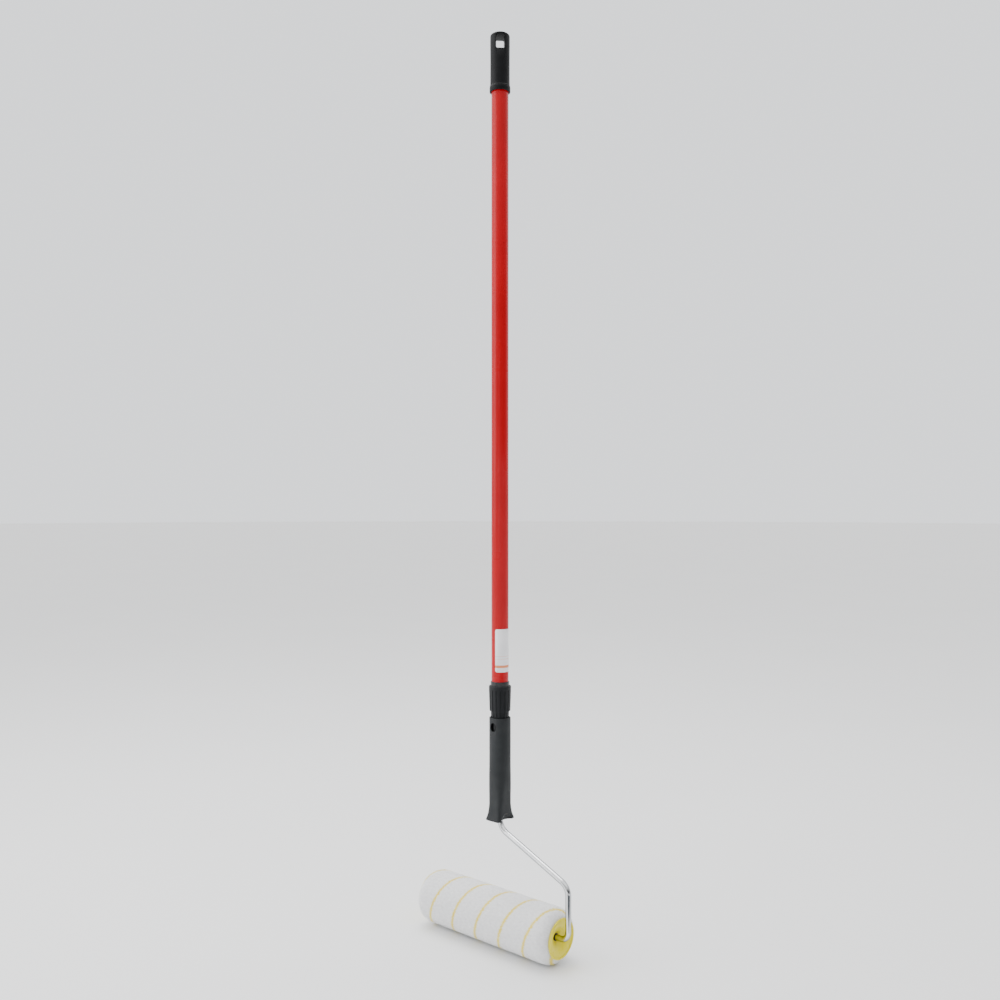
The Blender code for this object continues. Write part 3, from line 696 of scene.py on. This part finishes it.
def welded_copy(name, node, crease=35):
    """A smooth-shaded piece on a CAD node's own shape, with its loose triangles joined."""
    made = bmesh.new()
    made.from_mesh(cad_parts[node].data)
    bmesh.ops.remove_doubles(made, verts=made.verts, dist=0.005 * mm)
    obj = piece(name, made, crease)
    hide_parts(node)
    return obj


inner_low, inner_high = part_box("inner_tube")
inner_radius = (inner_high.x - inner_low.x) / 2
bm = turned(
    arc((inner_radius - edge_round, inner_high.z - edge_round), edge_round, 90, 0, 3)
    + arc((inner_radius - edge_round, inner_low.z + edge_round), edge_round, 0, -90, 3)
    + [(inner_radius - tube_wall, inner_low.z), (inner_radius - tube_wall, inner_high.z)],
    fine_steps,
)
inner_tube = piece("galvanised_tube", bm)
galvanised, nodes, links, shader = finish_of("galvanised_steel")
shader.inputs["Metallic"].default_value = 1.0
drawn = noise_in(nodes, links, 700.0, 4.0, (1, 1, 0.015))
bloom = noise_in(nodes, links, 30.0, 5.0)
steel = mixed_colour(nodes, links, drawn, (0.46, 0.47, 0.48), (0.66, 0.67, 0.68))
bloomed = mixed_colour(nodes, links, ranged(nodes, links, bloom, 0, 0.4), steel, (0.72, 0.73, 0.74))
links.new(bloomed, shader.inputs["Base Color"])
links.new(ranged(nodes, links, bloom, 0.28, 0.45), shader.inputs["Roughness"])
bumped(nodes, links, shader, drawn, 0.2, 0.03 * mm)
inner_tube.data.materials.append(galvanised)
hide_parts("inner_tube")
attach(inner_tube, "inner_pole")

grey_nylon = moulding("grey_nylon", (0.3, 0.3, 0.29), (0.22, 0.22, 0.21), 0.45, 1800.0, 0.03)
for name, node, body in (
    ("tube_bush", "guide_bush", "inner_pole"),
    ("grip_collet", "split_collet", "collet"),
):
    obj = welded_copy(name, node)
    obj.data.materials.clear()
    obj.data.materials.append(grey_nylon)
    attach(obj, body)

# ---------------------------------------------------------------------------------------------------
# Roller handle: a hollow charcoal-black moulding. It is round at its socket, squared and flared where it
# grips the wire, scooped out on the two sides that the wire can bend to, and has an oval hang slot.

handle_low, handle_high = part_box("roller_handle")
low, top = handle_low.z, handle_high.z
handle_sections = [
    (0.0, 12.7, 17.6, 7.0),
    (0.5, 13.4, 18.3, 7.0),
    (1.5, 13.6, 18.6, 7.0),
    (4.0, 13.1, 17.4, 7.0),
    (7.0, 12.7, 16.2, 6.5),
    (11.0, 12.4, 15.2, 5.6),
    (16.0, 12.3, 14.5, 4.8),
    (23.0, 12.3, 14.2, 4.0),
    (34.0, 12.9, 14.5, 3.4),
    (47.0, 13.9, 15.0, 2.8),
    (62.0, 15.0, 15.4, 2.3),
    (82.0, 15.6, 15.6, 2.0),
    (112.0, 15.6, 15.6, 2.0),
    (146.6, 15.6, 15.6, 2.0),
    (147.6, 15.4, 15.4, 2.0),
    (148.0, 15.0, 15.0, 2.0),
]
around = 96
bm = bmesh.new()
rings = []
for height, half_x, half_y, square in handle_sections:
    grown = bmesh.ops.create_circle(bm, segments=around, radius=1.0)
    for vert in grown["verts"]:
        c, s = vert.co.x, vert.co.y
        x = math.copysign(abs(c) ** (2 / square), c) * half_x * mm
        y = math.copysign(abs(s) ** (2 / square), s) * half_y * mm
        vert.co = (x, y, low + height * mm)
    rings.append({edge for vert in grown["verts"] for edge in vert.link_edges})
for first, second in zip(rings, rings[1:]):
    bmesh.ops.bridge_loops(bm, edges=list(first | second))
for ring in (rings[0], rings[-1]):
    bmesh.ops.edgeloop_fill(bm, edges=list(ring))
bmesh.ops.recalc_face_normals(bm, faces=bm.faces)
handle = piece("frame_handle", bm)

socket = turned(
    [(0, top + mm), (13.9 * mm, top + mm), (13.9 * mm, top), (13.6 * mm, top - 0.6 * mm)]
    + [(13.35 * mm, top - 5 * mm), (12.55 * mm, top - 27 * mm), (12.1 * mm, top - 28.5 * mm)]
    + [(11.85 * mm, top - 34 * mm), (10.8 * mm, top - 68 * mm)]
    + [(10.6 * mm, top - 76 * mm), (0, top - 76 * mm)],
    fine_steps,
    closed=False,
)
wire_low, wire_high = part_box("frame_wire")
wire_radius = 4 * mm
wire_top = wire_high.z
bore_radius = 4.3 * mm
wire_bore = turned(
    [(0, wire_top + 0.3 * mm), (bore_radius, wire_top + 0.3 * mm), (bore_radius, low - 5 * mm)]
    + [(0, low - 5 * mm)],
    48,
    closed=False,
)
slot_z = top - 13 * mm
slot_width = 11 * mm
slot_height = 12.5 * mm
slot = bmesh.new()
slot_radius = slot_width / 2
bmesh.ops.create_cone(
    slot, cap_ends=True, segments=48, radius1=slot_radius, radius2=slot_radius, depth=2 * beyond
)
bmesh.ops.rotate(slot, verts=slot.verts, cent=(0, 0, 0), matrix=Matrix.Rotation(math.pi / 2, 3, "X"))
for vert in slot.verts:
    vert.co.z += slot_z + math.copysign((slot_height - slot_width) / 2, vert.co.z + 1e-7)
scoops = []
for side in (-1, 1):
    made = bmesh.new()
    bmesh.ops.create_uvsphere(made, u_segments=48, v_segments=32, radius=1.0)
    bmesh.ops.scale(made, vec=(10.8 * mm, 13.6 * mm, 13 * mm), verts=made.verts)
    bmesh.ops.translate(made, vec=(side * 17 * mm, 0, low - 1.5 * mm), verts=made.verts)
    scoops.append(made)
carve(handle, [socket, wire_bore, slot, *scoops])
soften(handle, 0.35 * mm, 42, 2)
handle_black, handle_black_worn = (0.0155, 0.0175, 0.019), (0.026, 0.029, 0.031)
handle_plastic = moulding("handle_plastic", handle_black, handle_black_worn, 0.58, 1900.0, 0.07, 90.0)
handle.data.materials.append(handle_plastic)
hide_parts("roller_handle")
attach(handle, "roller_frame")

# ---------------------------------------------------------------------------------------------------
# Frame wire: one steel rod, bright zinc plated, bent out of the handle, down beside the refill and back
# along its axle. A push-on washer sits on it outside the refill's near hub.

arm_x = wire_high.x - wire_radius
axle_z = wire_low.z + wire_radius
arm_top_z = axle_z + 74 * mm
first_bend_z = floor_z + 170 * mm
wire_corners = [
    Vector((0, 0, wire_top)),
    Vector((0, 0, first_bend_z)),
    Vector((arm_x, 0, arm_top_z)),
    Vector((arm_x, 0, axle_z)),
    Vector((wire_low.x, 0, axle_z)),
]
bend_radii = (21 * mm, 20 * mm, 13 * mm)
route = [wire_corners[0]]
for before, corner, after, radius in zip(wire_corners, wire_corners[1:], wire_corners[2:], bend_radii):
    back, ahead = (before - corner).normalized(), (after - corner).normalized()
    half = back.angle(ahead) / 2
    start = corner + back * (radius / math.tan(half))
    centre = corner + (back + ahead).normalized() * (radius / math.sin(half))
    axis = back.cross(ahead).normalized()
    bend = math.pi - 2 * half
    for i in range(25):
        route.append(centre + Matrix.Rotation(-bend * i / 24, 3, axis) @ (start - centre))
route.append(wire_corners[-1])

bm = bmesh.new()
rod_rings = []
for i, point in enumerate(route):
    ahead = (route[min(i + 1, len(route) - 1)] - route[max(i - 1, 0)]).normalized()
    side = Vector((0, 1, 0))
    over = ahead.cross(side)
    grown = bmesh.ops.create_circle(bm, segments=32, radius=wire_radius)
    where = Matrix((side, over, ahead)).transposed().to_4x4()
    bmesh.ops.transform(bm, matrix=Matrix.Translation(point) @ where, verts=grown["verts"])
    rod_rings.append({edge for vert in grown["verts"] for edge in vert.link_edges})
for first, second in zip(rod_rings, rod_rings[1:]):
    bmesh.ops.bridge_loops(bm, edges=list(first | second))
for ring in (rod_rings[0], rod_rings[-1]):
    bmesh.ops.edgeloop_fill(bm, edges=list(ring))
bmesh.ops.recalc_face_normals(bm, faces=bm.faces)
rod = piece("zinc_rod", bm, 50)

zinc, nodes, links, shader = finish_of("bright_zinc")
shader.inputs["Metallic"].default_value = 1.0
wear = placed_group(nodes, handling_wear, Smears=60.0, Scuffs=500.0)
spangle = noise_in(nodes, links, 260.0, 5.0)
bright = mixed_colour(nodes, links, wear.outputs["Smear"], (0.72, 0.73, 0.745), (0.84, 0.845, 0.85))
scuffed = ranged(nodes, links, wear.outputs["Scuff"], 0, 0.45)
bright = mixed_colour(nodes, links, scuffed, bright, (0.4, 0.41, 0.43))
# Painted shade: the colour darkens towards the rod's outline as seen from the camera, standing in for
# darker reflections at grazing angles.
painted_rim_shade = nodes.new("ShaderNodeLayerWeight")
painted_rim_shade.inputs["Blend"].default_value = 0.5
edge = ranged(nodes, links, painted_rim_shade.outputs["Facing"], 0, 0.85, 0.12, 0.55)
links.new(mixed_colour(nodes, links, edge, bright, (0.3, 0.31, 0.33)), shader.inputs["Base Color"])
shader.inputs["Specular Tint"].default_value = (0.5, 0.51, 0.53, 1)
links.new(ranged(nodes, links, spangle, 0.12, 0.22), shader.inputs["Roughness"])
bumped(nodes, links, shader, spangle, 0.1, 0.05 * mm)
rod.data.materials.append(zinc)
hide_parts("frame_wire")
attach(rod, "roller_frame")

washer = welded_copy("push_washer", "stop_washer")
washer.data.materials.clear()
washer.data.materials.append(nut_plastic)
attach(washer, "roller_frame")

# ---------------------------------------------------------------------------------------------------
# End caps: smooth green-yellow mouldings pressed into the core. Each has a thin bright rim and a dish
# that falls in one soft curve to a long hub, which turns on the wire.

pile_low, pile_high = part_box("sleeve_pile")
near_x, far_x = pile_high.x, pile_low.x
core_bore = 23.4 * mm
skirt = core_bore - 0.3 * mm
hub_bore = wire_radius + 0.3 * mm
hub_face = -9.5 * mm
cap_steps = 128


def along_axle(made, end_x, way):
    """Turns a bmesh made round Z so that its +Z points out of the refill at end_x."""
    lay = Matrix.Rotation(way * math.pi / 2, 4, "Y")
    bmesh.ops.transform(made, matrix=Matrix.Translation((end_x, 0, axle_z)) @ lay, verts=made.verts)
    return made


def cap_outline():
    rim = arc((26.1 * mm, 0.8 * mm), 0.7 * mm, 180, 90, 4)
    rim += arc((27.2 * mm, 0.8 * mm), 0.8 * mm, 80, -35, 7)
    skirt_side = [(27.4 * mm, 0.3 * mm), (skirt, 0.3 * mm)]
    skirt_side += [(skirt, -16 * mm), (skirt - 1.5 * mm, -16 * mm)]
    web = [(skirt - 1.5 * mm, -2.6 * mm), (8 * mm, -10 * mm), (8 * mm, hub_face - 16 * mm)]
    hub = [(hub_bore, hub_face - 16 * mm)]
    hub += [(hub_bore, hub_face - 0.4 * mm), (hub_bore + 0.4 * mm, hub_face)]
    dish = []
    for i in range(25):
        part = i / 24
        flare = (1 - part) ** 2.3
        dish.append(((6.8 + 18.4 * part) * mm, hub_face * flare + 0.4 * mm * (1 - flare)))
    return rim + skirt_side + web + hub + dish


yellow, nodes, links, shader = finish_of("yellow_plastic")
grain = placed_group(nodes, moulded_grain, Scale=1500.0)
wear = placed_group(nodes, handling_wear, Smears=45.0, Scuffs=300.0)
tint = mixed_colour(nodes, links, grain.outputs["Tone"], (0.8, 0.68, 0.01), (0.84, 0.73, 0.015))
scuffed = ranged(nodes, links, wear.outputs["Scuff"], 0, 0.2)
tint = mixed_colour(nodes, links, scuffed, tint, (0.74, 0.7, 0.34))
links.new(tint, shader.inputs["Base Color"])
shader.inputs["Specular IOR Level"].default_value = 0.3
links.new(ranged(nodes, links, wear.outputs["Smear"], 0.26, 0.38), shader.inputs["Roughness"])
shader.inputs["Subsurface Weight"].default_value = 0.12
shader.inputs["Subsurface Radius"].default_value = (0.004, 0.003, 0.001)
shader.inputs["Subsurface Scale"].default_value = 0.5
bumped(nodes, links, shader, grain.outputs["Height"], 0.15, 0.02 * mm)

for name, node, end_x, way in (
    ("near_cap", "near_end_cap", near_x, 1),
    ("far_cap", "far_end_cap", far_x, -1),
):
    cap = piece(name, along_axle(turned(cap_outline(), cap_steps), end_x, way), 45)
    cap.data.materials.append(yellow)
    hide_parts(node)
    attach(cap, "refill")

clip = welded_copy("end_clip", "axle_clip")
clip.data.materials.clear()
clip.data.materials.append(grey_nylon)
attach(clip, "clip")

# ---------------------------------------------------------------------------------------------------
# Core: the extruded plastic tube that the nap is bonded to. It shows only inside the caps' skirts.

core_low, core_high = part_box("sleeve_core")
core_radius = (core_high.y - core_low.y) / 2
core_length = core_high.x - core_low.x
bm = turned(
    [(core_radius, 0), (core_radius, -core_length), (core_bore, -core_length), (core_bore, 0)], fine_steps
)
core = piece("core_tube", along_axle(bm, core_high.x, 1))
core_plastic = moulding("core_plastic", (0.62, 0.62, 0.6), (0.5, 0.5, 0.48), 0.5, 900.0, 0.04)
core.data.materials.append(core_plastic)
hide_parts("sleeve_core")
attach(core, "refill")

# ---------------------------------------------------------------------------------------------------
# Nap: long white pile, with a thin yellow thread in it that winds round in two starts. A felted body
# holds the pile's mass, and a coat of separate fibres stands out of it and fans over the ends.

pile_radius = (pile_high.y - pile_low.y) / 2
pile_inner = 25.3 * mm
end_reach = 16 * mm
half_length = (near_x - far_x) / 2
middle_x = (near_x + far_x) / 2
thread_pitch = 45 * mm
thread_shift = 1.1 * mm
thread_half_width = 2.1 * mm
nap_white, nap_shade = (0.985, 0.987, 0.99), (0.64, 0.64, 0.65)
thread_yellow, thread_shade = (0.98, 0.83, 0.12), (0.74, 0.57, 0.06)


def off_thread(along, turn):
    """How far a point of the nap lies from the middle of the nearest thread, along the axle."""
    waver = 1.0 * mm * np.sin(turn * 83 + 2 * np.sin(turn * 19))
    waver += 0.15 * mm * np.sin(turn * 9 + along * 210)
    starts = (along - thread_shift + waver) / thread_pitch - turn / math.pi
    return np.abs(starts - np.round(starts)) * thread_pitch


def tufting(along, turn):
    """A slow uneven wave over the nap, between -1 and 1, that groups its fibres into tufts."""
    rows = np.sin(along / (1.7 * mm) + 2.5 * np.sin(turn * 8))
    return 0.5 * rows + 0.5 * np.sin(turn * 43 + 2 * np.sin(along / (4.1 * mm)))


felt_depth = 1.3 * mm
felt_height = pile_radius - felt_depth - pile_inner
felt_half = half_length - 0.8 * mm
shoulder = felt_half - end_reach
outline = []
for i in range(17):
    swing = math.pi / 2 * i / 16
    outline.append((pile_inner + felt_height * math.sin(swing), shoulder + end_reach * math.cos(swing)))
rows = 190
outline += [(pile_inner + felt_height, shoulder * (1 - 2 * i / rows)) for i in range(1, rows)]
outline += [(radius, -along) for radius, along in reversed(outline[:17])]
bm = turned(outline, 256)
rng = np.random.default_rng(7)
heave = rng.normal(0, 0.2 * mm, len(bm.verts)).clip(-0.4 * mm, 0.4 * mm)
for vert, push in zip(bm.verts, heave):
    if vert.co.xy.length > pile_inner + mm:
        vert.co += vert.normal * float(push)
felt = piece("nap_felt", along_axle(bm, middle_x, 1), 180)
spots = np.array([vert.co for vert in felt.data.vertices])
turn_of = np.arctan2(spots[:, 2] - axle_z, -spots[:, 1])
near_thread = off_thread(spots[:, 0] - middle_x, turn_of) < thread_half_width
felt.data.attributes.new("thread", "FLOAT", "POINT").data.foreach_set("value", near_thread.astype(float))
felt_light = 0.5 + 0.12 * tufting(spots[:, 0], turn_of) + heave / mm * 0.4
felt.data.attributes.new("light", "FLOAT", "POINT").data.foreach_set("value", felt_light)

bm = bmesh.new()
bmesh.ops.create_grid(bm, x_segments=1, y_segments=2, size=1.0)
tip_verts = [vert for vert in bm.verts if vert.co.y > 0.9]
bmesh.ops.pointmerge(bm, verts=tip_verts, merge_co=(0, 1, 0))
bm.verts.index_update()
blade_sides = np.array([vert.co.x for vert in bm.verts])
blade_steps = np.array([(vert.co.y + 1) / 2 for vert in bm.verts])
blade_faces = [np.array([vert.index for vert in face.verts]) for face in bm.faces]
bm.free()


def fibre_coat(name, seed, count):
    """A coat of separate fibres: the blade above, copied from inside the nap out to its surface."""
    rng = np.random.default_rng(seed)
    height = pile_radius - pile_inner
    side_length = 2 * (half_length - end_reach)
    end_length = math.pi / 2 * math.sqrt((height**2 + end_reach**2) / 2)
    side_share = side_length * pile_radius
    end_share = end_length * (pile_inner + height * 2 / math.pi)
    on_side = rng.random(count) < side_share / (side_share + 2 * end_share)
    way = np.where(rng.random(count) < 0.5, -1.0, 1.0)
    swing = np.where(on_side, math.pi / 2, rng.random(count) * math.pi / 2)
    radius = pile_inner + height * np.sin(swing)
    side_along = (rng.random(count) - 0.5) * side_length
    along = np.where(on_side, side_along, way * (half_length - end_reach + end_reach * np.cos(swing)))
    turn = (rng.random(count) * 2 - 1) * math.pi
    axle = np.array([1.0, 0, 0])
    radial = np.stack([np.zeros(count), -np.cos(turn), np.sin(turn)], 1)
    sideways = np.stack([np.zeros(count), np.sin(turn), np.cos(turn)], 1)
    outward = radial * (np.sin(swing) + 0.25 * np.cos(swing))[:, None]
    outward += axle * (np.where(on_side, 0.0, way * np.cos(swing) * 0.85))[:, None]
    outward /= np.linalg.norm(outward, axis=1)[:, None]
    tuft = tufting(along, turn)
    length = rng.uniform(3.4, 5.2, count) * mm
    sunk = rng.random(count) ** 2 * 1.1 * mm + (0.25 - 0.25 * tuft) * mm
    root = radial * radius[:, None] + axle * along[:, None] - outward * (sunk + length)[:, None]
    lean_along = 0.16 * np.cos(tuft * 3.1 + along * 300) + rng.normal(0, 0.19, count)
    lean_round = 0.16 * np.sin(tuft * 3.7 + turn * 5) + rng.normal(0, 0.19, count)
    bend = (axle * lean_along[:, None] + sideways * lean_round[:, None]) * length[:, None]
    twist = rng.random(count) * math.pi
    across = axle * np.cos(twist)[:, None] + sideways * np.sin(twist)[:, None]
    width = rng.uniform(0.18, 0.32, count) * mm
    step = blade_steps[None, :, None]
    spots = root[:, None] + (outward * length[:, None])[:, None] * step + bend[:, None] * step**2
    spots += (across * width[:, None])[:, None] * blade_sides[None, :, None] * (1 - 0.3 * step)
    spots = spots.reshape(-1, 3)
    reach = np.linalg.norm(spots[:, 1:], axis=1)
    spots[:, 1:] *= np.minimum(1, pile_radius / reach)[:, None]
    edge = half_length - 0.2 * mm + np.where(reach > 28.8 * mm, 1.2 * mm, 0)
    spots[:, 0] = np.clip(spots[:, 0], -edge, edge)
    spots += np.array([middle_x, 0, axle_z])
    base = np.arange(count)[:, None] * len(blade_steps)
    mesh = bpy.data.meshes.new(name)
    faces = [face for blade in blade_faces for face in (base + blade).tolist()]
    mesh.from_pydata(spots.tolist(), [], faces)
    mesh.shade_smooth()
    yellow = off_thread(along, turn) < thread_half_width
    mesh.attributes.new("thread", "FLOAT", "POINT").data.foreach_set(
        "value", np.repeat(yellow.astype(float), len(blade_steps))
    )
    light = (rng.uniform(0.76, 1.04, count) + 0.12 * tuft)[:, None] * (0.76 + 0.24 * blade_steps[None])
    mesh.attributes.new("light", "FLOAT", "POINT").data.foreach_set("value", light.ravel())
    obj = bpy.data.objects.new(name, mesh)
    bpy.context.scene.collection.objects.link(obj)
    return obj


coats = [fibre_coat(f"nap_fibres_{i}", 20 + i, 65000) for i in range(3)]

pile, nodes, links, shader = finish_of("white_pile")
light = nodes.new("ShaderNodeAttribute")
light.attribute_name = "light"
thread = nodes.new("ShaderNodeAttribute")
thread.attribute_name = "thread"
white = mixed_colour(nodes, links, light.outputs["Fac"], nap_shade, nap_white)
yellow_nap = mixed_colour(nodes, links, light.outputs["Fac"], thread_shade, thread_yellow)
striped = mixed_colour(nodes, links, thread.outputs["Fac"], white, yellow_nap)
links.new(striped, shader.inputs["Base Color"])
lint = noise_in(nodes, links, 900.0, 3.0)
links.new(ranged(nodes, links, lint, 0.75, 0.95), shader.inputs["Roughness"])
shader.inputs["Sheen Weight"].default_value = 0.5
shader.inputs["Sheen Roughness"].default_value = 0.6
shader.inputs["Specular IOR Level"].default_value = 0.15
bumped(nodes, links, shader, lint, 0.3, 0.1 * mm)
for obj in (felt, *coats):
    obj.data.materials.append(pile)
    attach(obj, "refill")
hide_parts("sleeve_pile")

low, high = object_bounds()
